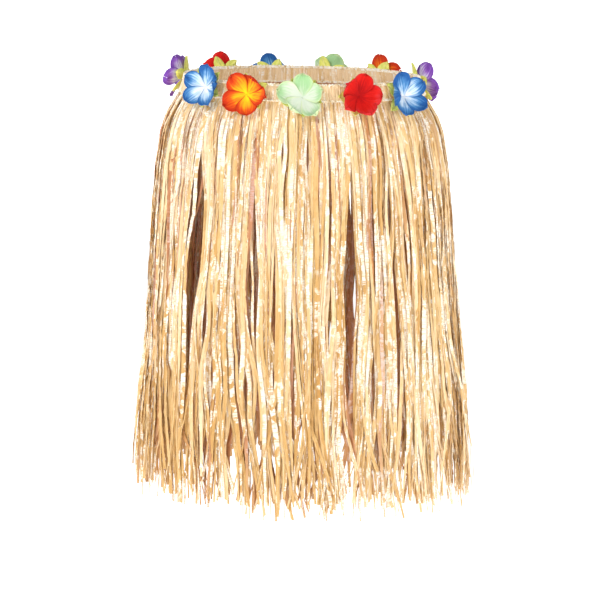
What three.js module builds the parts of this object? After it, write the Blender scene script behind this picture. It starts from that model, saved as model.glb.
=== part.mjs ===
// A raffia grass skirt: a pleated waistband between two stitched edges, a fringe of
// hanging raffia tufts, and eleven cloth flowers, each with a layer of leaves behind it.
// Millimetres, +Z up. The front faces -Y and +X is the wearer's left side.
// The origin is the centre of the waist ring, halfway up the waistband.
import * as THREE from "three";

const radians = THREE.MathUtils.degToRad;

// Waistband
const bandHeight = 21;
const bandWall = 3;
const edgeHeight = 3;
const edgeProud = 0.6; // the stitched edges are thicker than the band by this on each face
const seamGap = 0.3;
const bandSegments = 44;
const waistTilt = radians(6); // the front of the ring sits lower than the back
const waistRoll = radians(1); // the wearer's right side sits a little higher

// Fringe
const tuftCount = 24;
const tuftColumns = 5;
const tuftGapTop = 0.8;
const tuftGapHem = 4;
const tuftWallTop = 3;
const tuftWallHem = 8;
const tuftBulge = 3.5; // how far a tuft's middle stands out past its edges at the hem
const tuftShift = 2.5; // how far every other tuft stands out at the hem
const fringeLength = { front: 501, side: 509, back: 503 };
const hemUneven = 9;

// Flowers
const waistRound = 838; // the length of the band round its outer face
const flowerLift = 4.6; // from the band's face to the back of the petals at their centre
const leafLift = 1.6;
const flowerReach = 15; // each flower leans with the skirt's flare over this distance up and down
const petalShape = { lobes: 5, radius: 29, notch: 0.3, cup: 8, wall: 1.2, spokes: 20 };
const leafShape = { lobes: 5, radius: 27, notch: 0.42, cup: 5.5, wall: 1, spokes: 20 };

// Half-breadths of the skirt's outer face, by the distance below the middle of the band.
const sections = [
  { below: -10.5, side: 151.5, front: 104, back: 105 },
  { below: 10.5, side: 158.5, front: 107, back: 110 },
  { below: 22, side: 164.5, front: 109.5, back: 114 },
  { below: 43, side: 175.5, front: 114, back: 122 },
  { below: 60, side: 180.5, front: 117, back: 128 },
  { below: 105, side: 188.5, front: 121.5, back: 137 },
  { below: 168, side: 194, front: 126.5, back: 144 },
  { below: 260, side: 200.5, front: 131.5, back: 148 },
  { below: 390, side: 208, front: 137, back: 151 },
  { below: 520, side: 211.5, front: 141, back: 153 },
];

// Splits between tufts that hang open wider than the rest, by the tuft after the split.
const wideSplits = [
  { tuft: 20, extra: 7 },
  { tuft: 4, extra: 4 },
  { tuft: 22, extra: 3 },
  { tuft: 13, extra: 4 },
];

// The flowers in order round the waist, from the front centre towards the wearer's left: how far
// each is sewn past its even place and above the middle of the band, and its turn in degrees.
const flowers = [
  { petal: "#c8ecb0", along: 0.5, rise: -6, spin: 0 },
  { petal: "#e0261c", along: -5, rise: -5.5, spin: -18 },
  { petal: "#5b93dc", along: -22, rise: -8, spin: 12 },
  { petal: "#b48ad0", along: 18, rise: -4, spin: 30 },
  { petal: "#f0702a", along: 9, rise: -2, spin: -8 },
  { petal: "#c8ecb0", along: 2, rise: -1, spin: 20 },
  { petal: "#5b93dc", along: 2, rise: -3, spin: -14 },
  { petal: "#e0261c", along: -6, rise: 0, spin: 6 },
  { petal: "#b48ad0", along: -7, rise: 2, spin: -30 },
  { petal: "#5b93dc", along: 26, rise: 0, spin: -2 },
  { petal: "#f0702a", along: 7, rise: -4.5, spin: -24 },
];

const raffia = { color: "#edc98e", roughness: 0.38, metalness: 0 };
const stitchedRaffia = { color: "#f3e2bd", roughness: 0.5, metalness: 0 };
const leafCloth = { color: "#c3d35a", roughness: 0.65, metalness: 0 };

// The section table read at any distance below the middle of the band.
function sectionAt(below) {
  const last = sections.length - 2;
  const found = sections.findIndex((row, i) => i > last || below < sections[i + 1].below);
  const low = sections[Math.min(found, last)];
  const high = sections[Math.min(found, last) + 1];
  const share = (below - low.below) / (high.below - low.below);
  return {
    side: THREE.MathUtils.lerp(low.side, high.side, share),
    front: THREE.MathUtils.lerp(low.front, high.front, share),
    back: THREE.MathUtils.lerp(low.back, high.back, share),
  };
}

// A share of the way round the waist becomes an angle, so that equal shares are equal lengths.
function angleAt(turn) {
  const even = 2 * Math.PI * turn;
  return even - 0.09 * Math.sin(2 * even);
}

// A point on the skirt: turn is 0 at the front centre, inward is the depth under its outer face.
function skirtPoint(turn, below, inward) {
  const section = sectionAt(below);
  const angle = angleAt(turn);
  const depth = THREE.MathUtils.lerp(section.front, section.back, (1 - Math.cos(angle)) / 2);
  const x = (section.side - inward) * Math.sin(angle);
  const y = -(depth - inward) * Math.cos(angle);
  const waist = sectionAt(0);
  const waistDepth = THREE.MathUtils.lerp(waist.front, waist.back, (1 - Math.cos(angle)) / 2);
  const lift = -waistDepth * Math.cos(angle) * Math.tan(waistTilt);
  const roll = -waist.side * Math.sin(angle) * Math.tan(waistRoll);
  return new THREE.Vector3(x, y, lift + roll - below);
}

// A closed mesh from its vertices and faces.
function solidMesh(name, points, faces, look) {
  const geometry = new THREE.BufferGeometry();
  const flat = points.flatMap((p) => [p.x, p.y, p.z]);
  geometry.setAttribute("position", new THREE.Float32BufferAttribute(flat, 3));
  geometry.setIndex(faces.flat());
  geometry.computeVertexNormals();
  const mesh = new THREE.Mesh(geometry, new THREE.MeshStandardMaterial(look));
  mesh.name = name;
  return mesh;
}

// Two triangles over four corners.
function quad(a, b, c, d) {
  return [
    [a, b, c],
    [a, c, d],
  ];
}

// A closed ring with a four-cornered section: cornerAt gives corner 0 to 3 at each turn.
function ringSolid(name, segments, cornerAt, look) {
  const points = [];
  const faces = [];
  for (let segment = 0; segment < segments; segment++) {
    const next = (segment + 1) % segments;
    for (let corner = 0; corner < 4; corner++) {
      const after = (corner + 1) % 4;
      points.push(cornerAt(segment / segments, corner));
      const here = segment * 4;
      const there = next * 4;
      faces.push(...quad(here + corner, there + corner, there + after, here + after));
    }
  }
  return solidMesh(name, points, faces, look);
}

// A hoop of the waistband between two distances below its middle, standing proud of its face.
function bandHoop(name, top, bottom, proud, look) {
  const corners = [
    { below: top, inward: bandWall + proud },
    { below: bottom, inward: bandWall + proud },
    { below: bottom, inward: -proud },
    { below: top, inward: -proud },
  ];
  const cornerAt = (turn, corner) => {
    return skirtPoint(turn, corners[corner].below, corners[corner].inward);
  };
  return ringSolid(name, bandSegments, cornerAt, look);
}

function waistband() {
  const half = bandHeight / 2;
  const group = new THREE.Group();
  group.add(
    bandHoop("waistband_top_edge", -half, edgeHeight - half, edgeProud, stitchedRaffia),
    bandHoop("waistband", edgeHeight - half + seamGap, half - edgeHeight - seamGap, 0, raffia),
    bandHoop("waistband_bottom_stitch", half - edgeHeight, half, edgeProud, stitchedRaffia),
  );
  return group;
}

// The gap at the hem beside a tuft, on the side of the given split.
function splitGap(split) {
  const wide = wideSplits.find((row) => row.tuft === split % tuftCount);
  return tuftGapHem + (wide ? wide.extra : 0);
}

// The length of the fringe round the waist, with the uneven ends of its strands.
function fringeLengthAt(turn, column) {
  const angle = angleAt(turn);
  const ends = Math.cos(angle) < 0 ? fringeLength.back : fringeLength.front;
  const length = THREE.MathUtils.lerp(fringeLength.side, ends, Math.cos(angle) ** 2);
  return length + hemUneven * Math.sin(2.3 * column) * Math.sin(0.7 * column + 1);
}

// One hanging tuft: a tapering wall that follows the flare, fuller in the middle than at its edges.
function tuft(index) {
  const points = [];
  const faces = [];
  const width = tuftColumns + 1;
  const top = bandHeight / 2 + seamGap;
  const drops = sections.map((row) => row.below - top).filter((drop) => drop > seamGap);
  const shares = [0, ...drops.map((drop) => drop / drops.at(-1))];
  const hemTurn = 1 / (2 * Math.PI * sections.at(-1).side);
  for (const wall of [0, 1]) {
    for (const share of shares) {
      const thick = THREE.MathUtils.lerp(tuftWallTop, tuftWallHem, share);
      const shift = index % 2 ? tuftShift * share : 0;
      const flare = Math.min(1, share * 6);
      const start = THREE.MathUtils.lerp(tuftGapTop, splitGap(index), flare) * hemTurn;
      const end = THREE.MathUtils.lerp(tuftGapTop, splitGap(index + 1), flare) * hemTurn;
      for (let column = 0; column < width; column++) {
        const across = column / tuftColumns;
        const first = index / tuftCount + start / 2;
        const last = (index + 1) / tuftCount - end / 2;
        const turn = THREE.MathUtils.lerp(first, last, across);
        const length = fringeLengthAt(turn, index * tuftColumns + column);
        const bulge = tuftBulge * share * Math.sin(Math.PI * across);
        const inward = wall * thick - bulge - shift + (tuftBulge + tuftShift) * share;
        points.push(skirtPoint(turn, top + share * length, inward));
      }
    }
  }
  const wallSize = width * shares.length;
  const at = (wall, row, column) => wall * wallSize + row * width + column;
  const lastRow = shares.length - 1;
  for (let row = 0; row < lastRow; row++) {
    for (let column = 0; column < tuftColumns; column++) {
      const low = row + 1;
      const next = column + 1;
      faces.push(...quad(at(0, row, column), at(0, low, column), at(0, low, next), at(0, row, next)));
      faces.push(...quad(at(1, row, column), at(1, row, next), at(1, low, next), at(1, low, column)));
    }
    const low = row + 1;
    faces.push(...quad(at(0, row, 0), at(1, row, 0), at(1, low, 0), at(0, low, 0)));
    const edge = tuftColumns;
    faces.push(...quad(at(0, row, edge), at(0, low, edge), at(1, low, edge), at(1, row, edge)));
  }
  for (let column = 0; column < tuftColumns; column++) {
    const next = column + 1;
    faces.push(...quad(at(0, 0, column), at(0, 0, next), at(1, 0, next), at(1, 0, column)));
    faces.push(
      ...quad(at(0, lastRow, column), at(1, lastRow, column), at(1, lastRow, next), at(0, lastRow, next)),
    );
  }
  return solidMesh(`fringe_tuft_${String(index + 1).padStart(2, "0")}`, points, faces, raffia);
}

// A thin cupped disc with a lobed outline, its front facing +Z and its centre at the origin.
function lobedDisc(name, shape, look) {
  const points = [];
  const faces = [];
  const rings = [0.5, 1];
  const backStart = 1 + rings.length * shape.spokes;
  for (const thick of [shape.wall, 0]) {
    points.push(new THREE.Vector3(0, 0, thick));
    for (const ring of rings) {
      for (let spoke = 0; spoke < shape.spokes; spoke++) {
        const angle = (2 * Math.PI * spoke) / shape.spokes + Math.PI / 2;
        const lobe = Math.abs(Math.cos((shape.lobes * (angle - Math.PI / 2)) / 2)) ** 0.7;
        const radius = shape.radius * ring * (1 - shape.notch * ring * (1 - lobe));
        const height = shape.cup * (radius / shape.radius) ** 1.5;
        points.push(new THREE.Vector3(radius * Math.cos(angle), radius * Math.sin(angle), height + thick));
      }
    }
  }
  for (let spoke = 0; spoke < shape.spokes; spoke++) {
    const next = (spoke + 1) % shape.spokes;
    const inner = [1 + spoke, 1 + next];
    const outer = inner.map((point) => point + shape.spokes);
    const [innerBack, outerBack] = [inner, outer].map((pair) => pair.map((point) => point + backStart));
    faces.push([0, inner[0], inner[1]]);
    faces.push(...quad(inner[0], outer[0], outer[1], inner[1]));
    faces.push([backStart, innerBack[1], innerBack[0]]);
    faces.push(...quad(innerBack[0], innerBack[1], outerBack[1], outerBack[0]));
    faces.push(...quad(outer[0], outerBack[0], outerBack[1], outer[1]));
  }
  return solidMesh(name, points, faces, look);
}

// One flower with its leaves, facing out from the band.
function flower(index) {
  const { petal, along, rise, spin } = flowers[index];
  const turn = index / flowers.length + along / waistRound;
  const label = `flower_${String(index + 1).padStart(2, "0")}`;
  const sideways = skirtPoint(turn + 0.01, -rise, 0).sub(skirtPoint(turn - 0.01, -rise, 0));
  const upwards = skirtPoint(turn, -flowerReach - rise, 0).sub(skirtPoint(turn, flowerReach - rise, 0));
  const facing = sideways.clone().cross(upwards).normalize();
  sideways.normalize();
  const up = facing.clone().cross(sideways);
  const leaves = lobedDisc(`${label}_leaves`, leafShape, leafCloth);
  const petals = lobedDisc(`${label}_petals`, petalShape, { color: petal, roughness: 0.6, metalness: 0 });
  leaves.position.z = leafLift;
  leaves.rotation.z = radians(spin) + Math.PI / leafShape.lobes;
  petals.position.z = flowerLift;
  petals.rotation.z = radians(spin);
  const group = new THREE.Group();
  group.add(leaves, petals);
  group.setRotationFromMatrix(new THREE.Matrix4().makeBasis(sideways, up, facing));
  group.position.copy(skirtPoint(turn, -rise, 0));
  return group;
}

const skirt = new THREE.Group();
skirt.add(waistband());
for (let index = 0; index < tuftCount; index++) {
  skirt.add(tuft(index));
}
for (let index = 0; index < flowers.length; index++) {
  skirt.add(flower(index));
}

export default skirt;
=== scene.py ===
import math

import bpy
import numpy as np
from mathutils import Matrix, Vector
from mathutils.bvhtree import BVHTree


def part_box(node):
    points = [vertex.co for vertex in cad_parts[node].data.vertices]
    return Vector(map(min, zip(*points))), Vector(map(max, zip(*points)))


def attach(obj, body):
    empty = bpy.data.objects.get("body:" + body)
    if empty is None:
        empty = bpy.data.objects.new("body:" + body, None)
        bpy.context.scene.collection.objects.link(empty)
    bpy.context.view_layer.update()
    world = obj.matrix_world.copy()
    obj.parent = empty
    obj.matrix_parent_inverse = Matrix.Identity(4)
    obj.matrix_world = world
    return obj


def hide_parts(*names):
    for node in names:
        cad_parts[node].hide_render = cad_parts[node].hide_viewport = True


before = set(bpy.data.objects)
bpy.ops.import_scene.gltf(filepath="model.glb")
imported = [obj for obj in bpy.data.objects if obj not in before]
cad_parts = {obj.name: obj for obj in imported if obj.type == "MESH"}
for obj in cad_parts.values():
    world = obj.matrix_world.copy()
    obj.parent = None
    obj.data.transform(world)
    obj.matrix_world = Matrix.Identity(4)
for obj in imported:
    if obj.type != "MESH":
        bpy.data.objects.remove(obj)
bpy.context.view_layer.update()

rng = np.random.default_rng(23)  # for the fringe and the band; the flowers have their own seed
scene = bpy.context.scene

# camera, floor and lights

view = {
    "distance": 2.8,
    "height": 0.03,
    "aside": -0.0026,
    "aimHeight": -0.282,
    "lens": 129.2,
}


def turnTo(holder, target):
    aim = Vector(target) - holder.location
    holder.rotation_euler = aim.to_track_quat("-Z", "Y").to_euler()


def placeCamera():
    camera = bpy.data.objects.new("camera", bpy.data.cameras.new("camera"))
    scene.collection.objects.link(camera)
    camera.data.lens = view["lens"]
    camera.location = (view["aside"], -view["distance"], view["height"])
    turnTo(camera, (view["aside"], 0, view["aimHeight"]))
    scene.camera = camera


placeCamera()
print("camera placed")

studio = {
    "floorHeight": -0.95,
    "floorReach": 9.0,
    "floorColour": (0.93, 0.925, 0.915, 1),
    "floorGlow": 0.8,
    "domeColour": (1, 1, 1, 1),
    "domeGlow": 1.0,
    "skyColour": (1, 0.985, 0.96, 1),
    "ambient": 0.35,
    "aimHeight": -0.22,
    "lamps": {
        "key": {"at": (-1.7, -2.6, 1.4), "size": 0.9, "power": 50},
        "fill": {"at": (1.9, -2.5, 0.5), "size": 1.0, "power": 26},
        "low": {"at": (0.2, -2.9, -0.7), "size": 1.2, "power": 6},
        "side": {"at": (-2.6, -0.5, 0.4), "size": 1.2, "power": 18},
        "lowSide": {"at": (2.6, -0.6, -0.5), "size": 1.0, "power": 15},
        "rim": {"at": (0.6, 2.2, 1.9), "size": 1.2, "power": 12},
        "back": {"at": (-1.6, 2.4, 0.6), "size": 1.2, "power": 14},
    },
}


def glowing(name, colour, strength):
    # a matt surface with an even light of its own
    material = bpy.data.materials.new(name)
    material.use_nodes = True
    shader = material.node_tree.nodes["Principled BSDF"]
    shader.inputs["Base Color"].default_value = colour
    shader.inputs["Roughness"].default_value = 0.9
    shader.inputs["Emission Color"].default_value = colour
    shader.inputs["Emission Strength"].default_value = strength
    return material


def buildStudio():
    reach, level = studio["floorReach"], (0, 0, studio["floorHeight"])
    bpy.ops.mesh.primitive_circle_add(vertices=96, radius=reach, fill_type="NGON", location=level)
    floor = bpy.context.object
    floor.name = "studio_floor"
    floor.data.materials.append(glowing("pale floor", studio["floorColour"], studio["floorGlow"]))
    # the dome is a plain backdrop, which neither lights the skirt nor shades it
    bpy.ops.mesh.primitive_uv_sphere_add(segments=64, ring_count=32, radius=reach)
    dome = bpy.context.object
    dome.name = "studio_dome"
    dome.data.materials.append(glowing("pale dome", studio["domeColour"], studio["domeGlow"]))
    dome.visible_diffuse = False
    dome.visible_glossy = False
    dome.visible_shadow = False
    world = bpy.data.worlds.new("studio")
    world.use_nodes = True
    sky = world.node_tree.nodes["Background"]
    sky.inputs["Color"].default_value = studio["skyColour"]
    sky.inputs["Strength"].default_value = studio["ambient"]
    scene.world = world
    for name, setting in studio["lamps"].items():
        lamp = bpy.data.lights.new(name, "AREA")
        lamp.energy = setting["power"]
        lamp.size = setting["size"]
        holder = bpy.data.objects.new(name, lamp)
        scene.collection.objects.link(holder)
        holder.location = setting["at"]
        turnTo(holder, (0, 0, studio["aimHeight"]))
    scene.view_settings.view_transform = "Standard"


buildStudio()
print("studio lit")

# the form of the skirt, read from the imported parts

# a grid of columns round the skirt and rows down it; below lastRow the rows go on straight
form = {
    "columns": 192,
    "rows": 58,
    "rowStep": 0.01,
    "lastRow": 0.47,
    "farOut": 0.6,
    "directions": 721,
    "smoothings": 2,
    "slopeSpan": 3,
}
tuftNames = sorted(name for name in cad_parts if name.startswith("fringe_tuft"))
flowerNames = sorted(name[:-7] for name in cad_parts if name.endswith("_petals"))


def pointsOf(name):
    return np.array([v.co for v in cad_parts[name].data.vertices])


def treeOf(names):
    points, faces = [], []
    for name in names:
        start = len(points)
        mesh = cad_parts[name].data
        points += [tuple(v.co) for v in mesh.vertices]
        faces += [[start + i for i in p.vertices] for p in mesh.polygons]
    return BVHTree.FromPolygons(points, faces)


def ringPlane():
    # the waist ring's slope, as z = a x + b y + c, and half the height of the whole band
    points = pointsOf("waistband")
    plane = np.linalg.lstsq(np.c_[points[:, :2], np.ones(len(points))], points[:, 2], rcond=None)[0]
    edge = np.concatenate([pointsOf("waistband_top_edge"), pointsOf("waistband_bottom_stitch")])
    away = edge[:, 2] - np.c_[edge[:, :2], np.ones(len(edge))] @ plane
    return plane, float(away.max() - away.min()) / 2


plane, bandHalf = ringPlane()


def faceAt(tree, angle, height):
    # how far from the middle a level line coming in from outside meets the outer face
    ray = Vector((math.sin(angle), -math.cos(angle), 0))
    start = ray * form["farOut"] + Vector((0, 0, height))
    hit = tree.ray_cast(start, -ray, form["farOut"])[0]
    return math.nan if hit is None else math.hypot(hit.x, hit.y)


def planeHeight(angle, radius):
    return plane[0] * radius * np.sin(angle) - plane[1] * radius * np.cos(angle) + plane[2]


def fillGaps(radii):
    # a missed direction takes the radius between its neighbours
    found = np.flatnonzero(~np.isnan(radii))
    if len(found) < 2:
        return radii
    return np.interp(np.arange(len(radii)), found, radii[found], period=len(radii))


def shareAngles():
    # directions from the front centre, spaced so that equal shares are equal lengths of the band
    tree = treeOf(["waistband"])
    angles = np.linspace(0, 2 * math.pi, form["directions"])
    radii = fillGaps(np.array([faceAt(tree, a, 0.0) for a in angles]))
    radii = fillGaps(np.array([faceAt(tree, a, h) for a, h in zip(angles, planeHeight(angles, radii))]))
    corners = np.c_[radii * np.sin(angles), -radii * np.cos(angles)]
    length = np.r_[0, np.cumsum(np.linalg.norm(np.diff(corners, axis=0), axis=1))]
    shares = np.arange(form["columns"]) / form["columns"]
    picked = np.interp(shares, length / length[-1], angles)
    ring = np.interp(picked, angles, radii)
    return picked, ring, float(length[-1])


shareAngle, ringRadius, waistRound = shareAngles()
ringHeight = planeHeight(shareAngle, ringRadius)


def skirtSkin():
    # the outer face of the band and fringe on a grid of drops below the ring and shares round it
    tufts = treeOf(tuftNames)
    wholeBand = treeOf(["waistband", "waistband_top_edge", "waistband_bottom_stitch"])
    rows = []
    for row in range(form["rows"]):
        drop = (row - 1) * form["rowStep"]
        if drop > form["lastRow"]:
            rows.append(2 * rows[-1] - rows[-2])
            continue
        tree = wholeBand if drop < bandHalf else tufts
        found = [faceAt(tree, a, h - drop) for a, h in zip(shareAngle, ringHeight)]
        rows.append(fillGaps(np.array(found)))
    radii = np.array(rows)
    for _ in range(form["smoothings"]):
        radii = (np.roll(radii, 1, 1) + 2 * radii + np.roll(radii, -1, 1)) / 4
    return np.stack([radii * np.sin(shareAngle), -radii * np.cos(shareAngle)], 2)


skin = skirtSkin()
along = np.roll(skin, -form["slopeSpan"], 1) - np.roll(skin, form["slopeSpan"], 1)
along /= np.linalg.norm(along, axis=2, keepdims=True)
out = np.stack([along[:, :, 1], -along[:, :, 0]], 2)  # which way the face looks


def readGrid(grid, share, drop):
    # a value between the grid's four nearest columns and rows
    columns, rows = grid.shape[1], grid.shape[0]
    across = (np.asarray(share) % 1) * columns
    down = np.clip(np.asarray(drop) / form["rowStep"] + 1, 0, rows - 1.001)
    c, r = np.floor(across).astype(int), np.floor(down).astype(int)
    fc, fr = (across - c)[..., None], (down - r)[..., None]
    c, d = c % columns, (c + 1) % columns
    high = grid[r, c] * (1 - fc) + grid[r, d] * fc
    low = grid[r + 1, c] * (1 - fc) + grid[r + 1, d] * fc
    return high * (1 - fr) + low * fr


def ringAt(share):
    # the height of the band's middle at this share round the skirt
    hook = np.asarray(share) % 1 * form["columns"]
    return np.interp(hook, np.arange(form["columns"] + 1), np.r_[ringHeight, ringHeight[0]])


def skirtPoint(share, drop, depth, hangFrom=None):
    # a point at this share round the skirt, below the ring and under its outer face
    flat = readGrid(skin, share, drop) - np.asarray(depth)[..., None] * readGrid(out, share, drop)
    height = ringAt(share if hangFrom is None else hangFrom)
    return np.concatenate([flat, (height - drop)[..., None]], -1)


print("form read: waist", round(waistRound, 3), "m round")

# shared helpers for meshes and materials


def smooth(low, high, value):
    t = np.clip((value - low) / (high - low), 0, 1)
    return t * t * (3 - 2 * t)


def slow(along, knots, size):
    # a random smooth curve for each row, with this many bends
    count = len(along)
    values = rng.normal(0, size * 1.7, (count, knots + 4))
    at = np.clip(along, 0, 1) * knots
    first = np.floor(at).astype(int)
    t = at - first
    weights = ((1 - t) ** 3, 3 * t**3 - 6 * t**2 + 4, -3 * t**3 + 3 * t**2 + 3 * t + 1, t**3)
    return sum(w / 6 * np.take_along_axis(values, first + i, 1) for i, w in enumerate(weights))


def newPiece(name, points, faces, material, uv=None, marks=None, smoothed=False):
    # a mesh from arrays: uv is a place on the map and marks are numbers, one for each point
    mesh = bpy.data.meshes.new(name)
    mesh.from_pydata(points.tolist(), [], faces)
    mesh.materials.append(material)
    if uv is not None:
        layer = mesh.uv_layers.new(name="OFBake")
        corner = np.zeros(len(mesh.loops), np.int32)
        mesh.loops.foreach_get("vertex_index", corner)
        layer.uv.foreach_set("vector", np.asarray(uv, np.float32)[corner].ravel())
    marks = marks or {}
    for key, values in marks.items():
        mark = mesh.attributes.new(key, "FLOAT", "POINT")
        mark.data.foreach_set("value", np.asarray(values, np.float32).ravel())
    mesh.polygons.foreach_set("use_smooth", [smoothed] * len(mesh.polygons))
    mesh.update()
    piece = bpy.data.objects.new(name, mesh)
    scene.collection.objects.link(piece)
    return piece


def settle(piece, slot, *nodes):
    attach(piece, "root")
    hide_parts(*nodes)
    return piece


class Recipe:
    # a material's nodes, made one after another
    def __init__(self, name):
        self.material = bpy.data.materials.new(name)
        self.material.use_nodes = True
        self.tree = self.material.node_tree
        self.shader = self.tree.nodes["Principled BSDF"]

    def add(self, kind, inputs=None, **settings):
        node = self.tree.nodes.new(kind)
        for key, value in settings.items():
            setattr(node, key, value)
        for key, value in (inputs or {}).items():
            self.feed(node.inputs[key], value)
        return node

    def feed(self, socket, value):
        if isinstance(value, bpy.types.NodeSocket):
            self.tree.links.new(value, socket)
        else:
            socket.default_value = value

    def math(self, how, a, b=0.0, c=0.0, clamp=False):
        node = self.add("ShaderNodeMath", {0: a, 1: b, 2: c}, operation=how, use_clamp=clamp)
        return node.outputs[0]

    def join(self, x, y, z=0.0):
        return self.add("ShaderNodeCombineXYZ", {0: x, 1: y, 2: z}).outputs[0]

    def mark(self, name):
        return self.add("ShaderNodeAttribute", attribute_name=name).outputs["Fac"]

    def ramp(self, value, stops):
        node = self.add("ShaderNodeValToRGB", {"Fac": value})
        elements = node.color_ramp.elements
        while len(elements) < len(stops):
            elements.new(0.5)
        for element, (at, colour) in zip(elements, stops):
            element.position = at
            element.color = (*colour, 1)
        return node.outputs["Color"]

    def blend(self, share, a, b):
        # sockets 6 and 7 are the two colours, and output 2 is their mixture
        return self.add("ShaderNodeMix", {0: share, 6: a, 7: b}, data_type="RGBA").outputs[2]

    def noise(self, vector, scale=1.0, detail=2.0, dimensions="2D"):
        inputs = {"Vector": vector, "Scale": scale, "Detail": detail}
        return self.add("ShaderNodeTexNoise", inputs, noise_dimensions=dimensions).outputs[0]

    def cells(self, vector):
        # three random numbers for each cell of a broken-up grid of units
        inputs = {"Vector": vector, "Scale": 1.0, "Randomness": 1.0}
        node = self.add("ShaderNodeTexVoronoi", inputs, voronoi_dimensions="2D")
        return self.add("ShaderNodeSeparateColor", {0: node.outputs["Color"]}).outputs

    def bump(self, height, strength, distance):
        inputs = {"Height": height, "Strength": strength, "Distance": distance}
        return self.add("ShaderNodeBump", inputs).outputs[0]

    def lanes(self, count):
        # the map's lanes side by side: place in all of them, a lane's number, place across it and down it
        place = self.add("ShaderNodeUVMap", uv_map="OFBake").outputs[0]
        split = self.add("ShaderNodeSeparateXYZ", {0: place}).outputs
        lane = self.math("MULTIPLY", split[0], count)
        number = self.math("FLOOR", lane)
        return lane, number, self.math("SUBTRACT", lane, number), split[1]

    def offMiddle(self, across):
        return self.math("ABSOLUTE", self.math("SUBTRACT", across, 0.5))

    def above(self, value, start, slope):
        # 0 up to the start, then rising to 1 at this slope
        return self.math("MULTIPLY", self.math("SUBTRACT", value, start), slope, clamp=True)

    def set(self, **values):
        for key, value in values.items():
            self.feed(self.shader.inputs[key.replace("_", " ")], value)


# raffia

raffiaLook = {
    "honey": (0.61, 0.34, 0.10),
    "straw": (0.76, 0.51, 0.225),
    "peach": (0.90, 0.69, 0.43),
    # the two glint colours are painted highlights, the edge colour is painted shade where strands meet, and
    # the inner colour is painted shade on the deepest strands
    "glint": (1.0, 0.96, 0.89),
    "creamGlint": (0.97, 0.84, 0.65),
    "fleck": (0.56, 0.36, 0.12),
    "edge": (0.42, 0.175, 0.05),
    "inner": (0.44, 0.13, 0.065),
    "patchLength": 0.0078,
    "runLength": 0.05,
    "streakLength": 0.07,
    "lineLength": 0.0016,
    "grainLength": 0.03,
    "laneSeed": 7.31,
    "glintRuns": 3.4,
    "glintStart": 3.15,
    "glintSharpness": 4.5,
    "glintStrength": 0.94,
    "patches": 0.18,
    "streaks": 0.95,
    "edgeShadeStart": 0.38,
    "fleckStart": 0.80,
    "fleckStrength": 0.45,
    "bumpStrength": 0.3,
    "bumpHeight": 0.0003,
}


def raffiaMaterial(name, lanes, length, glints, edges):
    # lanes is how many strands lie side by side on the map, and length is what its full height stands for;
    # glints is how much painted highlight it gets, and edges how strong the painted shade along strand edges
    # is
    look = raffiaLook
    make = Recipe(name)
    _, strand, across, share = make.lanes(lanes)
    down = make.math("MULTIPLY", share, length)
    seed = make.math("MULTIPLY", strand, look["laneSeed"])
    tone, shine, inner = make.mark("tone"), make.mark("shine"), make.mark("inner")

    def spot(units, long):
        # a place in a pattern with this many units across a strand, each this long down it
        x = make.math("MULTIPLY_ADD", across, units, seed)
        return make.join(x, make.math("DIVIDE", down, long))

    patch = make.cells(spot(0.8, look["patchLength"]))
    run = make.noise(spot(0.4, look["runLength"]))
    streak = make.noise(spot(5.0, look["streakLength"]))
    line = make.noise(spot(0.5, look["lineLength"]), detail=1.0)
    grain = make.noise(spot(9.0, look["grainLength"]), detail=1.0)

    # glints are painted highlights in the base colour, coming in broken runs: a patch shows where its own
    # chance and the run together are high
    chance = make.math("MULTIPLY_ADD", run, look["glintRuns"], patch[0])
    limit = make.math("MULTIPLY_ADD", shine, -0.9, look["glintStart"] - glints)
    chance = make.math("SUBTRACT", chance, limit)
    glint = make.math("MULTIPLY", chance, look["glintSharpness"], clamp=True)
    glint = make.math("MULTIPLY", glint, make.math("MULTIPLY_ADD", line, 3.2, -0.7, clamp=True))

    # the body runs from honey to peach, with streaks, painted shade along the edges where strands meet, and
    # small brown flecks
    shade = make.math("MULTIPLY_ADD", streak, look["streaks"], -0.56)
    shade = make.math("MULTIPLY_ADD", patch[1], look["patches"], shade)
    stops = [(0.0, look["honey"]), (0.45, look["straw"]), (0.95, look["peach"])]
    body = make.ramp(make.math("ADD", tone, shade, clamp=True), stops)
    rim = make.above(make.offMiddle(across), look["edgeShadeStart"], 8.0)
    body = make.blend(make.math("MULTIPLY", rim, edges), body, (*look["edge"], 1))
    fleck = make.math("MULTIPLY_ADD", chance, 2.0, 0.9, clamp=True)
    fleck = make.math("MULTIPLY", make.above(patch[1], look["fleckStart"], 12.0), fleck)
    body = make.blend(make.math("MULTIPLY", fleck, look["fleckStrength"]), body, (*look["fleck"], 1))

    # painted highlights: the glints' colour runs from cream to near white and is laid over the body
    glintColour = make.blend(patch[2], (*look["creamGlint"], 1), (*look["glint"], 1))
    colour = make.blend(make.math("MULTIPLY", glint, look["glintStrength"]), body, glintColour)
    # painted shade: the deepest strands are darkened towards brown, as if the inside lay in shadow
    colour = make.blend(inner, colour, (*look["inner"], 1))
    height = make.math("MULTIPLY_ADD", grain, 0.5, line)
    dull = make.math("MULTIPLY_ADD", glint, -0.14, make.math("MULTIPLY_ADD", patch[2], 0.12, 0.36))
    make.set(
        Base_Color=colour,
        Roughness=dull,
        Normal=make.bump(height, look["bumpStrength"], look["bumpHeight"]),
        IOR=1.5,
        Specular_IOR_Level=0.35,
        Coat_Weight=0.12,
        Coat_Roughness=0.2,
    )
    return make.material


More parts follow.
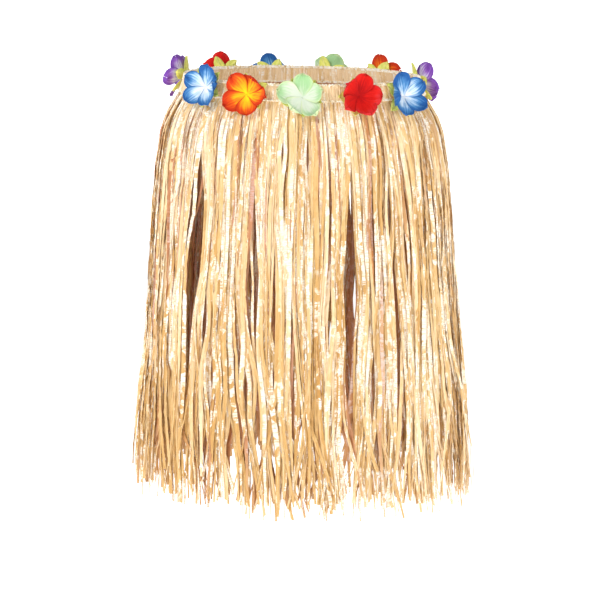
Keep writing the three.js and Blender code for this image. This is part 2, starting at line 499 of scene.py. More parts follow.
fringe = {
    "strands": 60,
    "stations": 96,
    "stationSteps": (0.35, 1.65),
    "girth": {"waist": 0.85, "hip": 0.26, "hem": 0.1},
    "tucked": 0.002,
    "hemUneven": 0.010,
    "hemSteps": (0.5, 1, 1.6),
    "shortShare": 0.06,
    "shorter": (0.02, 0.12),
    "below": 0.016,
    "locks": 4,
    "lockPull": 0.32,
    "lockSway": 0.0026,
    "lockDrift": 0.008,
    "ownSway": 0.0012,
    "drift": 0.007,
    "strayShare": 0.08,
    "strayDrift": 0.026,
    "splay": 0.013,
    "splaySteps": (0.6, 1, 1.9),
    "splayChances": (0.4, 0.4, 0.2),
    "layers": (0.0, 0.45, 1.0),
    "layerChances": (0.38, 0.30, 0.32),
    "layerDepth": 0.0048,
    "firstDepth": 0.0016,
    "wander": 0.0012,
    "lift": 0.011,
    "sideLift": 0.017,
    "partReach": 0.026,
    "partSlack": 0.0012,
}

# turn and fold are angles in radians
ribbon = {
    "wide": (0.0034, 0.0068),
    "thin": (0.0016, 0.0030),
    "half": 0.0014,
    "thinShare": 0.22,
    "thinWhereMatt": 0.45,
    "deepWider": 0.3,
    "pinch": 0.50,
    "taper": 0.78,
    "turn": 0.18,
    "slowTurn": 0.32,
    "quickTurn": 0.10,
    "fold": 0.22,
    "foldWave": 0.2,
    "foldShake": 0.05,
    "crinkle": 0.0003,
    "widthShake": (0.96, 1.04),
}

# openings, each listed: share round the skirt at its middle, top and bottom drops, width, lean
openings = [
    (-0.139, 0.030, 0.380, 0.018, -0.056),
    (-0.121, 0.225, 0.370, 0.006, -0.002),
    (-0.108, 0.300, 0.420, 0.004, 0.004),
    (-0.066, 0.160, 0.330, 0.004, 0.004),
    (-0.067, 0.310, 0.430, 0.005, 0.002),
    (-0.050, 0.330, 0.500, 0.007, 0.022),
    (-0.084, 0.380, 0.540, 0.007, 0.022),
    (-0.033, 0.370, 0.530, 0.006, 0.020),
    (-0.026, 0.030, 0.120, 0.003, 0.003),
    (0.008, 0.035, 0.130, 0.002, 0.001),
    (0.034, 0.210, 0.370, 0.005, 0.003),
    (0.063, 0.170, 0.320, 0.004, 0.001),
    (0.114, 0.075, 0.235, 0.005, 0.003),
    (0.134, 0.100, 0.290, 0.003, 0.003),
    (0.162, 0.080, 0.260, 0.003, 0.001),
    (0.086, 0.300, 0.440, 0.004, 0.002),
    (0.048, 0.395, 0.500, 0.003, 0.003),
]
openingParts = ("share", "top", "bottom", "width", "lean")
partings = [dict(zip(openingParts, row)) for row in openings]
# lesser openings at the sides and back, drawn between these values
backPartings = {
    "share": (0.2, 0.8),
    "top": (0.05, 0.3),
    "bottom": (0.34, 0.5),
    "width": (0.001, 0.004),
    "lean": (-0.012, 0.012),
}
backCount = 10
for _ in range(backCount):
    partings.append({key: rng.uniform(*limits) for key, limits in backPartings.items()})

# where the fringe is duller, finer and browner low down, the browner tone being painted shade, and where its
# hem rises or, if negative, drops
mattPlace = {"share": -0.160, "reach": 0.030, "top": 0.26, "full": 0.40}
hemRises = [
    {"share": -0.120, "reach": 0.008, "rise": 0.045},
    {"share": -0.152, "reach": 0.018, "rise": -0.012},
    {"share": -0.215, "reach": 0.035, "rise": 0.020},
    {"share": 0.075, "reach": 0.045, "rise": -0.005},
    {"share": 0.190, "reach": 0.050, "rise": -0.005},
]
# where whole runs of strands lean sideways in their last part: positive is towards larger shares
leans = [
    {"share": -0.070, "reach": 0.036, "aside": 0.030},
    {"share": 0.190, "reach": 0.050, "aside": 0.014},
    {"share": -0.200, "reach": 0.040, "aside": -0.008},
]
sideFlare = {"share": 0.225, "reach": 0.055}  # many strands lift away outwards
fewLoose = {"share": -0.225, "reach": 0.045}  # a few strands lift away outwards
manyStray = {"share": 0.190, "reach": 0.050}  # more strands stray sideways
# the side that is paler low down: what tone and shine lose at the top there, and gain towards the hem
paleSide = {"share": 0.18, "reach": 0.085, "tone": (0.14, 0.34), "shine": (0.25, 0.5)}

# tone runs from 0, honey, to 1, peach, and shine brings painted glints; matt, deep and lower take from them,
# the darker tone of the matt zone and of the deep layer being painted shade
strandTone = {"mean": 0.58, "spread": 0.20, "along": 0.12, "matt": 0.20, "deep": 0.12, "lower": 0.24}
strandShine = {"mean": 0.30, "spread": 0.30, "along": 0.30, "matt": 0.45, "deep": 0.3, "lower": 0.45}
paleTips = 0.08
innerShade = 0.70


def roundAway(share, place):
    return (share - place + 0.5) % 1 - 0.5


def near(share, place):
    return np.exp(-((roundAway(share, place["share"]) / place["reach"]) ** 2))


def partStrands(share, drop, girth):
    # each strand keeps to one side of an opening and is moved clear of it
    moved = share.copy()
    for gap in partings:
        through = (drop - gap["top"]) / (gap["bottom"] - gap["top"])
        line = gap["share"] + gap["lean"] * (through - 0.5) / girth
        away = roundAway(moved, line) * girth
        inside = ((through > 0) & (through < 1)) * 1.0
        side = np.sign((away * inside).sum(1, keepdims=True) + 1e-9)
        apart, far = side * away, fringe["partReach"]
        slack = fringe["partSlack"] + 0.2 * gap["width"]
        clear = gap["width"] / 2 + ribbon["half"]
        parted = clear + (far - clear) * np.clip((apart + slack) / (far + slack), 0, 1)
        parted = np.where(apart > far, apart, parted)
        opened = smooth(0, 0.55, through) * smooth(0, 0.6, 1 - through)
        moved += side * np.where(np.abs(apart) < 0.1, opened * (parted - apart), 0) / girth
    return moved


def layStrands(tuft, name):
    # the middle line of every strand of a bunch, as stations from the band to its tip
    count, stations, locks = fringe["strands"], fringe["stations"], fringe["locks"]
    steps = rng.uniform(*fringe["stationSteps"], (count, stations))
    steps[:, 0] = 0
    down = np.cumsum(steps, 1)
    down /= down[:, -1:]
    own = (tuft + (np.arange(count) + rng.uniform(0.1, 0.9, count)) / count) / len(tuftNames)
    own = own[:, None]
    start = bandHalf - fringe["tucked"]
    full = ringAt(own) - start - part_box(name)[0].z
    reach = full - fringe["hemUneven"] - sum(near(own, rise) * rise["rise"] for rise in hemRises)
    reach += rng.normal(0, fringe["hemUneven"], (count, 1)) * rng.choice(fringe["hemSteps"], (count, 1))
    reach -= (rng.random((count, 1)) < fringe["shortShare"]) * rng.uniform(*fringe["shorter"], (count, 1))
    reach = np.minimum(reach, full + fringe["below"])
    drop = start + down * reach
    grown = fringe["girth"]
    girth = grown["waist"] + grown["hip"] * smooth(0, 0.1, drop) + grown["hem"] * smooth(0.1, 0.5, drop)

    # sideways: towards the middle of its lock, with the lock's own sway, its own, drift and splayed ends
    lock = (np.arange(count) * locks) // count
    middle = (tuft + (lock + 0.5) / locks) / len(tuftNames)
    pull = fringe["lockPull"] * smooth(0.03, 0.45, down) * (1 - 0.75 * smooth(0.7, 1, down))
    lockDown = np.tile(np.linspace(0, 1, stations), (locks, 1))
    sway = slow(lockDown, 4, fringe["lockSway"])
    sway += rng.normal(0, fringe["lockDrift"], (locks, 1)) * lockDown**1.4
    stray = (rng.random((count, 1)) < fringe["strayShare"] * (1 + near(own, manyStray))) * 1.0
    drift = rng.normal(0, 1, (count, 1)) * (fringe["drift"] + stray * fringe["strayDrift"])
    side = (middle[:, None] - own) * girth * pull
    side += sway[lock] * smooth(0, 0.3, down) + slow(down, 6, fringe["ownSway"]) * smooth(0, 0.15, down)
    splay = rng.normal(0, fringe["splay"], (count, 1))
    splay = splay * rng.choice(fringe["splaySteps"], (count, 1), p=fringe["splayChances"])
    side += drift * down**1.5 + splay * smooth(0.72, 1.05, down) ** 1.4
    side += sum(near(own, lean) * lean["aside"] for lean in leans) * smooth(0.5, 1.1, down) ** 1.2
    share = partStrands(own + side / girth, drop, girth)

    # in depth: layers, further apart towards the hem, and strands that lift away
    layer = rng.choice(fringe["layers"], (count, 1), p=fringe["layerChances"])
    depth = fringe["firstDepth"] * (1 - smooth(0, 0.03, down))
    depth = depth + layer * fringe["layerDepth"] * (0.3 + 0.7 * down)
    depth += slow(down, 6, fringe["wander"]) * smooth(0, 0.1, down)
    depth -= (0.3 + 0.7 * stray) * fringe["lift"] * rng.random((count, 1)) * down**2.5
    loose = rng.random((count, 1))
    flared = near(own, sideFlare) * loose**2 + near(own, fewLoose) * (1 - loose) ** 5
    depth -= flared * fringe["sideLift"] * smooth(0.45, 1, down) ** 1.5
    place = skirtPoint(share, drop, depth, hangFrom=own)
    nearMatt = near(share, mattPlace)
    matt = nearMatt * smooth(mattPlace["top"], mattPlace["full"], drop)
    strands = {"down": down, "own": own, "reach": reach, "drop": drop, "share": share, "place": place}
    strands.update(lock=lock, lockDown=lockDown, deep=(layer > 0.8) * 1.0, nearMatt=nearMatt, matt=matt)
    return strands


def shapeRibbons(strands):
    # a left edge, a middle and a right edge at every station, folded, turned and crinkled
    down, place = strands["down"], strands["place"]
    count, stations = down.shape
    outward = readGrid(out, strands["share"], strands["drop"])
    outward = np.concatenate([outward, np.zeros((count, stations, 1))], -1)
    run = np.gradient(place, axis=1)
    run /= np.linalg.norm(run, axis=2, keepdims=True)
    across = np.cross(run, outward)
    across /= np.linalg.norm(across, axis=2, keepdims=True)
    facing = np.cross(across, run)

    thinShare = ribbon["thinShare"] + ribbon["thinWhereMatt"] * strands["nearMatt"].mean(1, keepdims=True)
    thin = rng.random((count, 1)) < thinShare
    wide = rng.uniform(*ribbon["wide"], (count, 1))
    width = np.where(thin, rng.uniform(*ribbon["thin"], (count, 1)), wide)
    width = width * (1 + ribbon["deepWider"] * strands["deep"])
    width = width * (1 - ribbon["pinch"] * (1 - smooth(0, 0.07, down)))
    width = width * (1 - ribbon["taper"] * rng.uniform(0.35, 1, (count, 1)) * smooth(0.78, 1, down))
    turn = rng.normal(0, ribbon["turn"], (count, 1)) + slow(down, 5, ribbon["slowTurn"])
    turn = (turn + slow(down, 14, ribbon["quickTurn"])) * smooth(0, 0.06, down)
    fold = rng.choice([-1, 1], (count, 1)) * ribbon["fold"] * rng.uniform(0.3, 1.2, (count, 1))
    fold = fold + slow(down, 18, ribbon["foldWave"]) + rng.normal(0, ribbon["foldShake"], (count, stations))
    cos, sin = np.cos(turn)[..., None], np.sin(turn)[..., None]
    flat = cos * across + sin * facing
    up = cos * facing - sin * across
    half = width[..., None] / 2 * rng.uniform(*ribbon["widthShake"], (count, stations, 1))
    spread, rise = half * np.cos(fold)[..., None], half * np.sin(fold)[..., None]
    rough = rng.normal(0, ribbon["crinkle"], (count, stations, 3)) * np.minimum(1, width / 0.004)[..., None]
    left = place - flat * spread + up * (rise + rough[..., :1])
    middle = place + up * rough[..., 1:2]
    right = place + flat * spread + up * (rise + rough[..., 2:])
    return np.stack([left, middle, right], 2).reshape(-1, 3), width


def markStrands(strands):
    # how light each strand is, how much painted glint it gets and how far it takes the painted inner shade,
    # at every station
    down, lock, lockDown = strands["down"], strands["lock"], strands["lockDown"]
    matt, deep, pale = strands["matt"], strands["deep"], near(strands["own"], paleSide)
    low = smooth(0.3, 0.8, down)
    part = strandTone
    tone = rng.normal(part["mean"], part["spread"], (len(down), 1)) + slow(lockDown, 5, part["along"])[lock]
    tone = tone - part["matt"] * matt - part["deep"] * deep - part["lower"] * smooth(0.2, 0.9, down)
    tone = tone + paleTips * smooth(0.80, 1, down) * (1 - 0.8 * matt)
    tone = tone + pale * (paleSide["tone"][1] * low - paleSide["tone"][0])
    part = strandShine
    shine = rng.normal(part["mean"], part["spread"], (len(down), 1)) + slow(lockDown, 11, part["along"])[lock]
    shine = shine - part["matt"] * matt - part["lower"] * smooth(0.6, 1, down) - part["deep"] * deep
    shine = shine + pale * (paleSide["shine"][1] * low - paleSide["shine"][0])
    inner = innerShade * deep * (1 - 0.5 * smooth(0.85, 1, down)) * (1 - 0.7 * matt) * (1 - 0.7 * pale)
    marks = {"tone": tone, "shine": shine, "inner": inner}
    return {key: np.repeat(value[..., None], 3, 2) for key, value in marks.items()}


def hangStrands(tuft, name):
    # one bunch in one piece, its cut area, its strands' widths side by side and their mean length
    strands = layStrands(tuft, name)
    points, width = shapeRibbons(strands)
    down, reach = strands["down"], strands["reach"]
    count, stations = down.shape
    grid = np.arange(count * stations * 3).reshape(count, stations, 3)
    faces = np.stack([grid[:, :-1, :-1], grid[:, 1:, :-1], grid[:, 1:, 1:], grid[:, :-1, 1:]], -1)
    lane = (np.arange(count)[:, None, None] + np.array([0.04, 0.5, 0.96])) / count
    uv = np.stack(np.broadcast_arrays(lane, 0.002 + 0.996 * down[..., None]), -1).reshape(-1, 2)
    label, marks = "raffia_tuft_%02d" % (tuft + 1), markStrands(strands)
    piece = newPiece(label, points, faces.reshape(-1, 4).tolist(), raffia, uv, marks)
    area = float((width.mean(1) * reach[:, 0]).sum())
    return piece, area, float(width.mean() * count), float(reach.mean())


raffia = raffiaMaterial("straw raffia", fringe["strands"], length=0.51, glints=0.62, edges=0.09)
for tuft, name in enumerate(tuftNames):
    piece, area, width, length = hangStrands(tuft, name)
    settle(piece, "raffia", name)
    area = min(area, width * length)

# waistband

band = {
    "pleats": 236,
    "pleatWidths": (0.6, 1.4),
    "pleatHeights": (0.45, 1.2),
    "pleatHeight": 0.0011,
    "pleatProfile": (0, 0.8, 1.0, 0.75),
    "insidePleats": 0.35,
    "shake": 0.00025,
    "tone": (0.92, 0.26),
    "shine": (0.25, 0.3),
    "rows": 8,
    "wall": 0.003,
    "underEdge": 0.0015,
    "gathered": 1.25,
    "edgeHeight": 0.003,
    "edgeProud": 0.0006,
    "ruffles": 380,
    "ruffleHeight": 0.0007,
    "topRuffle": 0.0012,
    "stitchPitch": 0.0046,
    "stitchWidth": 0.0004,
    "stitchProud": 0.0013,
    "stitchBow": 0.0006,
}


def ringPiece(name, material, shares, section, marks, jitter):
    # a closed hoop: section gives drops and depths at every column, jitter moves its points out
    rows = len(section(shares[0], 0)[0])
    points = []
    for column, share in enumerate(shares):
        drops, depths = section(share, column)
        points.append(skirtPoint(np.full(rows, share), drops, depths - jitter[column]))
    columns = len(shares)
    grid = np.arange(columns * rows).reshape(columns, rows)
    after = np.roll(grid, -1, 0)
    faces = np.stack([grid, np.roll(grid, -1, 1), np.roll(after, -1, 1), after], -1).reshape(-1, 4).tolist()
    u = np.repeat(np.arange(columns) / columns, rows)
    v = np.tile(0.02 + 0.96 * np.arange(rows) / rows, columns)
    return newPiece(name, np.concatenate(points), faces, material, np.c_[u, v], marks)


def pleatBand():
    # a hoop of fine upright pleats, uneven in width and height, with flatter ones inside
    pleats, per, rows = band["pleats"], len(band["pleatProfile"]), band["rows"]
    widths = rng.uniform(*band["pleatWidths"], pleats)
    edges = np.r_[0, np.cumsum(widths)] / widths.sum()
    shares = np.concatenate([np.linspace(a, b, per, endpoint=False) for a, b in zip(edges, edges[1:])])
    tall = np.repeat(rng.uniform(*band["pleatHeights"], pleats), per) * band["pleatHeight"]
    profile = np.tile(band["pleatProfile"], pleats) * tall
    down = np.linspace(-bandHalf + band["underEdge"], bandHalf - band["underEdge"], rows)
    drops = np.r_[down, down[::-1]]
    depths = np.r_[np.zeros(rows), np.full(rows, band["wall"])]
    outside = np.r_[np.ones(rows), -band["insidePleats"] * np.ones(rows)]
    jitter = profile[:, None] * outside + rng.normal(0, band["shake"], (len(shares), 2 * rows))
    tone = np.repeat(np.repeat(rng.normal(*band["tone"], pleats), per)[:, None], 2 * rows, 1)
    shine = np.repeat(np.repeat(rng.normal(*band["shine"], pleats), per)[:, None], 2 * rows, 1)
    marks = {"tone": tone, "shine": shine, "inner": 0 * tone}
    # its painted shade along the pleat edges is stronger and its painted glints fewer than on the fringe
    material = raffiaMaterial("pleated raffia", pleats, length=0.045, glints=0.40, edges=0.18)
    piece = ringPiece("waistband_pleats", material, shares, lambda s, c: (drops, depths), marks, jitter)
    return settle(piece, "band_raffia", "waistband")


edgeLook = {"pale": (1.0, 0.96, 0.86), "warm": (0.93, 0.78, 0.52), "shadow": (0.62, 0.42, 0.20)}


def edgeMaterial():
    make = Recipe("stitched edge")
    place = make.add("ShaderNodeTexCoord").outputs["Object"]
    broad = make.noise(place, 260, 2.0, "3D")
    fine = make.noise(place, 1400, 2.0, "3D")
    stops = [(0.33, edgeLook["shadow"]), (0.43, edgeLook["warm"]), (0.55, edgeLook["pale"])]
    colour = make.ramp(broad, stops)
    rough = make.math("MULTIPLY_ADD", fine, 0.3, 0.35)
    height = make.math("MULTIPLY_ADD", fine, 0.4, broad)
    make.set(Base_Color=colour, Roughness=rough, Normal=make.bump(height, 0.5, 0.0005), Sheen_Weight=0.15)
    return make.material


def ruffle(name, node, top, bottom, upward):
    # a narrow gathered edge: a closed hoop whose waves stand out and, along the top, up
    columns = band["ruffles"] * 4
    shares = np.arange(columns) / columns
    phase = 2 * math.pi * np.arange(columns) / 4 + slow(shares[None], 60, 0.8)[0]
    tall = band["ruffleHeight"] * (0.75 + np.abs(slow(shares[None], 90, 0.45)[0]))
    wave = np.sin(phase) * tall
    crest = (np.cos(phase * 0.5) * 0.5 + 0.5) * upward * (0.6 + 0.5 * np.abs(slow(shares[None], 120, 0.5)[0]))
    middle = (top + bottom) / 2
    proud, inside = band["edgeProud"], band["wall"] + band["edgeProud"]
    depths = np.array([-proud, -proud - 0.0004, -proud, inside, inside])
    drops = np.array([top, middle, bottom, bottom, top])
    lift = np.array([1.0, 0.3, 0.0, 0.0, 1.0])
    sway = np.array([1.0, 0.6, 1.0, 0.4, 0.6])

    def section(share, column):
        return drops - lift * crest[column], depths

    piece = ringPiece(name, stitched, shares, section, {}, wave[:, None] * sway)
    return settle(piece, "stitched_edge", node)


def stitches(drop):
    # a row of short threads over the gathered line
    count = int(waistRound / band["stitchPitch"])
    radius, sides, rings = band["stitchWidth"], 6, 6
    bow = np.sin(np.linspace(0, math.pi, rings))
    size = radius * np.sin(np.linspace(0.5, math.pi - 0.5, rings))[:, None, None]
    angles = np.arange(sides) / sides * 2 * math.pi
    points, faces = [], []
    for stitch in range(count):
        shares = (stitch + np.linspace(0.08, 0.92, rings)) / count
        drops = drop + np.linspace(-0.0003, 0.0003, rings) * rng.uniform(0.5, 2)
        line = skirtPoint(shares, drops, -band["stitchProud"] - band["stitchBow"] * bow)
        outward = readGrid(out, shares, drops)
        outward = np.concatenate([outward, np.zeros((rings, 1))], 1)[:, None]
        ring = outward * np.cos(angles)[None, :, None] + np.array([0, 0, 1.0]) * np.sin(angles)[None, :, None]
        start = len(points) * rings * sides
        points.append((line[:, None] + ring * size).reshape(-1, 3))
        grid = start + np.arange(rings * sides).reshape(rings, sides)
        turned = np.roll(grid, -1, 1)
        faces += np.stack([grid[:-1], turned[:-1], turned[1:], grid[1:]], -1).reshape(-1, 4).tolist()
        faces += [grid[0][::-1].tolist(), grid[-1].tolist()]
    threads = newPiece("waistband_threads", np.concatenate(points), faces, stitched, smoothed=True)
    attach(threads, "root")
    return threads


stitched = edgeMaterial()
pleats = pleatBand()
seam = bandHalf - band["edgeHeight"]
topEdge = ruffle("waistband_ruffle", "waistband_top_edge", -bandHalf, -seam, band["topRuffle"])
bottomEdge = ruffle("waistband_gather", "waistband_bottom_stitch", seam, bandHalf, 0.0)
threads = stitches(bandHalf - band["edgeHeight"] / 2)
print("waistband pleated and stitched")

# flowers

# colours from the flower's middle out to its rim, and its hem; spread brings the outer ones further in
# along a petal's sides, and topDeeper does so on the uppermost petal
blooms = {
    "blue": {
        "middle": (0.90, 0.93, 0.98),
        "inner": (0.54, 0.72, 0.90),
        "outer": (0.09, 0.28, 0.57),
        "rim": (0.018, 0.105, 0.35),
        "spread": 0.52,
        "hem": (0.03, 0.15, 0.42),
        "hemmed": 0.5,
        "topDeeper": 0.18,
    },
    "orange": {
        "middle": (1.0, 0.66, 0.010),
        "inner": (0.97, 0.40, 0.012),
        "outer": (0.84, 0.12, 0.010),
        "rim": (0.60, 0.040, 0.008),
        "spread": 0.75,
        "hem": (0.50, 0.028, 0.005),
        "hemmed": 0.8,
        "topDeeper": 0.1,
    },
    "green": {
        "middle": (0.66, 0.73, 0.62),
        "inner": (0.69, 0.75, 0.63),
        "outer": (0.52, 0.67, 0.45),
        "rim": (0.36, 0.60, 0.30),
        "spread": 0.42,
        "hem": (0.78, 0.84, 0.48),
        "hemmed": 0.6,
        "topDeeper": 0.42,
    },
    "red": {
        "middle": (0.46, 0.004, 0.005),
        "inner": (0.62, 0.007, 0.005),
        "outer": (0.70, 0.012, 0.008),
        "rim": (0.72, 0.040, 0.042),
        "spread": 0.42,
        "hem": (0.52, 0.01, 0.01),
        "hemmed": 0.6,
        "topDeeper": -0.25,
    },
    "violet": {
        "middle": (0.88, 0.84, 0.95),
        "inner": (0.70, 0.62, 0.88),
        "outer": (0.32, 0.14, 0.58),
        "rim": (0.17, 0.05, 0.38),
        "spread": 0.45,
        "hem": (0.22, 0.08, 0.42),
        "hemmed": 0.5,
        "topDeeper": 0.1,
    },
}

# sizes are shares of the flower's reach, and angles are in radians
petalCount = 5
petalShape = {
    "rows": 17,
    "columns": 15,
    "length": 1.08,
    "halfWidth": 0.45,
    "widestAt": 0.60,
    "base": 0.17,
    "tip": 0.95,
    "notch": 0.035,
    "cupAngle": 0.44,
    "rimCurl": 0.14,
    "twist": 0.05,
    "crease": 0.07,
    "ripple": 0.030,
    "edgeWave": 0.025,
    "lengthSpread": 0.04,
    "breadthSpread": 0.06,
    "turnSpread": 0.05,
    "slopes": (0.7, 1.3),
    "rimCurls": (0.3, 1.4),
    "proud": 0.02,
}
leafShape = {
    **petalShape,
    "length": 0.99,
    "tip": 1.5,
    "notch": 0.0,
    "halfWidth": 0.27,
    "widestAt": 0.5,
    "cupAngle": 0.2,
    "rimCurl": 0.05,
    "twist": 0.02,
    "ripple": 0.01,
}
clothThickness = 0.0004
usualCurl = {"petals": (-0.55, 0.15), "leaves": (-0.4, 0.3)}
deepnessSpread = 0.04
rng = np.random.default_rng(41)  # the flowers draw apart from the fringe, so neither changes the other
# for each flower: its cloth, how deep the colour runs, which way its most curled petal points, in degrees,
# how far that petal curls, how far they all cup, and how much of the way the flower tips to the front
bloomRows = [
    ("green", 0.02, 230, 0.5, 1.0, 0.0),
    ("red", 0.0, 150, 0.6, 1.0, 0.1),
    ("blue", 0.05, 177, 2.2, 1.0, 0.3),
    ("violet", 0.0, 60, 0.8, 1.1, 0.0),
    ("orange", 0.05, 300, 1.2, 1.0, 0.0),
    ("green", 0.06, 40, 0.7, 1.0, 0.0),
    ("blue", 0.05, 130, 1.0, 1.2, 0.0),
    ("red", 0.0, 20, 0.6, 1.0, 0.0),
    ("violet", -0.05, 200, 0.9, 1.1, 0.0),
    ("blue", -0.02, 11, 1.0, 1.0, 0.15),
    ("orange", 0.02, 57, 1.3, 1.0, 0.1),
]
bloomParts = ("kind", "deepness", "curledAt", "curl", "cup", "tipped")
bloomOrder = [dict(zip(bloomParts, row)) for row in bloomRows]


def flowerSeat(name):
    # the centre, axes, reach and turn of a flower's solid
    points = pointsOf(name)
    middle = points.mean(0)
    facing = np.linalg.svd(points - middle)[2][2]
    facing *= np.sign(facing @ np.array([middle[0], middle[1], 0]))
    up = np.array([0, 0, 1.0]) - facing[2] * facing
    up /= np.linalg.norm(up)
    side = np.cross(up, facing)
    away = points - middle
    x, y = away @ side, away @ up
    reach = np.hypot(x, y)
    lobes = reach**4 * np.exp(1j * petalCount * np.arctan2(y, x))
    spin = np.angle(np.sum(lobes)) / petalCount
    base = middle + facing * (away @ facing).min()
    return {"base": base, "axes": np.array([side, up, facing]), "reach": float(reach.max()), "spin": spin}


def tipForward(seat, share):
    # the flower hangs by its centre and tips part of the way towards the front
    facing = seat["axes"][2] * (1 - share) + np.array([0, -1.0, 0]) * share
    facing /= np.linalg.norm(facing)
    side = np.cross(seat["axes"][1], facing)
    side /= np.linalg.norm(side)
    lifted = math.sqrt(1 - min(1, facing @ seat["axes"][2]) ** 2)
    seat["base"] = seat["base"] + seat["axes"][2] * seat["reach"] * 0.5 * lifted
    seat["axes"] = np.array([side, np.cross(facing, side), facing])


def petalAt(seat, degrees):
    # the petal that points nearest this way, anticlockwise from the right
    return round((math.radians(degrees) - seat["spin"]) / (2 * math.pi / petalCount)) % petalCount


def petalCloth(kind):
    look = blooms[kind]
    make = Recipe(kind + " petal cloth")
    _, number, across, far = make.lanes(petalCount)
    seed = make.math("MULTIPLY", number, 3.7)
    veinAt = make.join(make.math("MULTIPLY_ADD", across, 15.0, seed), make.math("MULTIPLY", far, 1.2))
    veins = make.noise(veinAt, detail=3.0)
    blotAt = make.join(make.math("MULTIPLY_ADD", across, 2.4, seed), make.math("MULTIPLY", far, 2.2))
    blot = make.noise(blotAt)
    side = make.math("POWER", make.math("MULTIPLY", make.offMiddle(across), 2.0), 3.0)
    # the print runs out from the middle, along the veins and in blots
    reach = make.math("MULTIPLY_ADD", side, look["spread"], make.math("ADD", far, make.mark("deepness")))
    reach = make.math("MULTIPLY_ADD", make.math("SUBTRACT", veins, 0.5), 0.7, reach)
    reach = make.math("MULTIPLY_ADD", make.math("SUBTRACT", blot, 0.5), 0.6, reach, clamp=True)
    stops = [(0.16, look["middle"]), (0.44, look["inner"]), (0.72, look["outer"]), (1.0, look["rim"])]
    colour = make.ramp(reach, stops)
    vein = make.math("MULTIPLY", make.above(veins, 0.58, 4.0), 0.45)
    colour = make.blend(vein, colour, (*look["outer"], 1))
    hem = make.math("MAXIMUM", far, make.math("MULTIPLY_ADD", side, 0.12, 0.86))
    hem = make.math("MULTIPLY", make.above(hem, 0.88, 12.0), look["hemmed"])
    colour = make.blend(hem, colour, (*look["hem"], 1))
    spot = make.add("ShaderNodeTexCoord").outputs["Object"]
    weave = make.noise(spot, 2600, 1.0, "3D")
    height = make.math("MULTIPLY_ADD", weave, 0.25, veins)
    make.set(
        Base_Color=colour,
        Roughness=make.math("MULTIPLY_ADD", weave, 0.15, 0.6),
        Normal=make.bump(height, 0.5, 0.0006),
        Sheen_Weight=0.04,
        Specular_IOR_Level=0.12,
    )
    return make.material


def lobedSheet(name, material, seat, shape, curls, cup, deepness):
    # petals side by side on the map, fanned round the centre; returns the piece and its cut area
    rows, columns, proud = shape["rows"], shape["columns"], shape["proud"]
    a = np.linspace(0, 1, rows)[:, None]  # from the centre to the tip
    b = np.linspace(-1, 1, columns)[None]  # from one side to the other
    widest = shape["widestAt"]
    rounded = np.sqrt(np.clip(1 - ((a - widest) / (1 - widest)) ** 2, 0, 1)) ** shape["tip"]
    rising = shape["base"] + (1 - shape["base"]) * np.sin(math.pi / 2 * np.clip(a / widest, 0, 1)) ** 1.4
    breadth = np.maximum(shape["halfWidth"] * np.where(a > widest, rounded, rising), 0.02)
    cut = float(2 * breadth.mean() * seat["reach"] ** 2 * shape["length"] * petalCount)
    points, uv, faces = [], [], []
    for number in range(petalCount):
        length = shape["length"] * (1 + rng.normal(0, shape["lengthSpread"]))
        # the middle line leaves the centre at a slope and rolls over its outer third
        slope = cup * shape["cupAngle"] * (0.5 + 0.8 * a) * rng.uniform(*shape["slopes"])
        slope = slope + curls[number] * smooth(0.42, 1.05, a)
        step = length / (rows - 1)
        line = np.cumsum(np.cos(slope)) * step - math.cos(slope[0, 0]) * step
        lineUp = np.cumsum(np.sin(slope)) * step - math.sin(slope[0, 0]) * step
        # across it the sides curl up, the middle is creased, and the rim ripples
        rise = shape["rimCurl"] * rng.uniform(*shape["rimCurls"]) * b**2 * a**1.3
        rise = rise - shape["crease"] * np.exp(-((b / 0.16) ** 2)) * a * (1 - 0.4 * a)
        rise = rise + shape["twist"] * b * np.sin(math.pi * np.clip(a * 0.9, 0, 1))
        rise = rise + shape["ripple"] * np.sin(b * 7 + rng.uniform(0, 6)) * a**2.5
        rise = rise + shape["ripple"] * 0.7 * np.sin(b * 13 + rng.uniform(0, 6)) * a**4
        edge = shape["edgeWave"] * np.cos(b * math.pi * rng.uniform(1.5, 3) + rng.uniform(0, 6)) * a**3
        edge = edge - shape["notch"] * np.exp(-((b / 0.22) ** 2)) * a**6
        x = b * breadth * (1 + rng.normal(0, shape["breadthSpread"]))
        y = line[:, None] + edge * np.cos(slope) - rise * np.sin(slope)
        z = lineUp[:, None] + edge * np.sin(slope) + rise * np.cos(slope) + proud
        turn = seat["spin"] + number * 2 * math.pi / petalCount - math.pi / 2
        turn = turn + rng.normal(0, shape["turnSpread"])
        east = x * math.cos(turn) - y * math.sin(turn)
        north = x * math.sin(turn) + y * math.cos(turn)
        local = np.stack([east, north, z], -1).reshape(-1, 3) * seat["reach"]
        points.append(seat["base"] + local @ seat["axes"])
        lane = (number + 0.5 + 0.46 * b) / petalCount
        uv.append(np.stack(np.broadcast_arrays(lane, 0.01 + 0.98 * a), -1).reshape(-1, 2))
        grid = number * rows * columns + np.arange(rows * columns).reshape(rows, columns)
        quads = np.stack([grid[:-1, :-1], grid[:-1, 1:], grid[1:, 1:], grid[1:, :-1]], -1)
        faces += quads.reshape(-1, 4).tolist()
    marks = {"deepness": np.repeat(deepness, rows * columns)}
    piece = newPiece(name, np.concatenate(points), faces, material, np.concatenate(uv), marks, smoothed=True)
    thick = piece.modifiers.new("cloth", "SOLIDIFY")
    thick.thickness = clothThickness
    thick.offset = 0
    return piece, cut


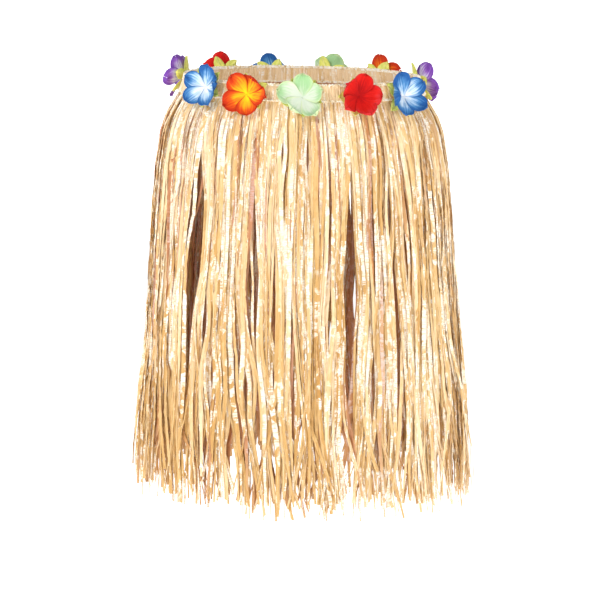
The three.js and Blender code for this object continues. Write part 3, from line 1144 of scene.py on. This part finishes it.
leafLook = {"pale": (0.86, 0.85, 0.20), "deep": (0.62, 0.68, 0.12), "vein": (0.90, 0.88, 0.40)}


def leafCloth():
    make = Recipe("leaf cloth")
    lane, _, across, far = make.lanes(petalCount)
    mottleAt = make.join(make.math("MULTIPLY", lane, 3.0), make.math("MULTIPLY", far, 4.0))
    mottle = make.noise(mottleAt, detail=4.0)
    colour = make.ramp(mottle, [(0.3, leafLook["deep"]), (0.62, leafLook["pale"])])
    rib = make.math("MULTIPLY_ADD", make.offMiddle(across), -14.0, 1.0, clamp=True)
    colour = make.blend(make.math("MULTIPLY", rib, 0.6), colour, (*leafLook["vein"], 1))
    weave = make.noise(make.add("ShaderNodeTexCoord").outputs["Object"], 2600, 1.0, "3D")
    make.set(
        Base_Color=colour,
        Roughness=make.math("MULTIPLY_ADD", weave, 0.15, 0.6),
        Normal=make.bump(make.math("MULTIPLY_ADD", mottle, 0.8, weave), 0.35, 0.0005),
        Sheen_Weight=0.2,
    )
    return make.material


petalCloths = {kind: petalCloth(kind) for kind in blooms}
leaves = leafCloth()
for label, bloomed in zip(flowerNames, bloomOrder):
    kind, seat = bloomed["kind"], flowerSeat(label + "_petals")
    curls = rng.uniform(*usualCurl["petals"], petalCount)
    curls[petalAt(seat, bloomed["curledAt"])] = bloomed["curl"]
    tipForward(seat, bloomed["tipped"])
    deepness = bloomed["deepness"] + rng.normal(0, deepnessSpread, petalCount)
    deepness[petalAt(seat, 90)] += blooms[kind]["topDeeper"]
    cloth, cup = petalCloths[kind], bloomed["cup"]
    bloom, cut = lobedSheet(label + "_bloom", cloth, seat, petalShape, curls, cup, deepness)
    settle(bloom, "petals_" + kind, label + "_petals")
    seat = flowerSeat(label + "_leaves")
    curls = rng.uniform(*usualCurl["leaves"], petalCount)
    calyx, cut = lobedSheet(label + "_calyx", leaves, seat, leafShape, curls, 1, np.zeros(petalCount))
    settle(calyx, "leaf_cloth", label + "_leaves")
print("flowers sewn on:", len(flowerNames))
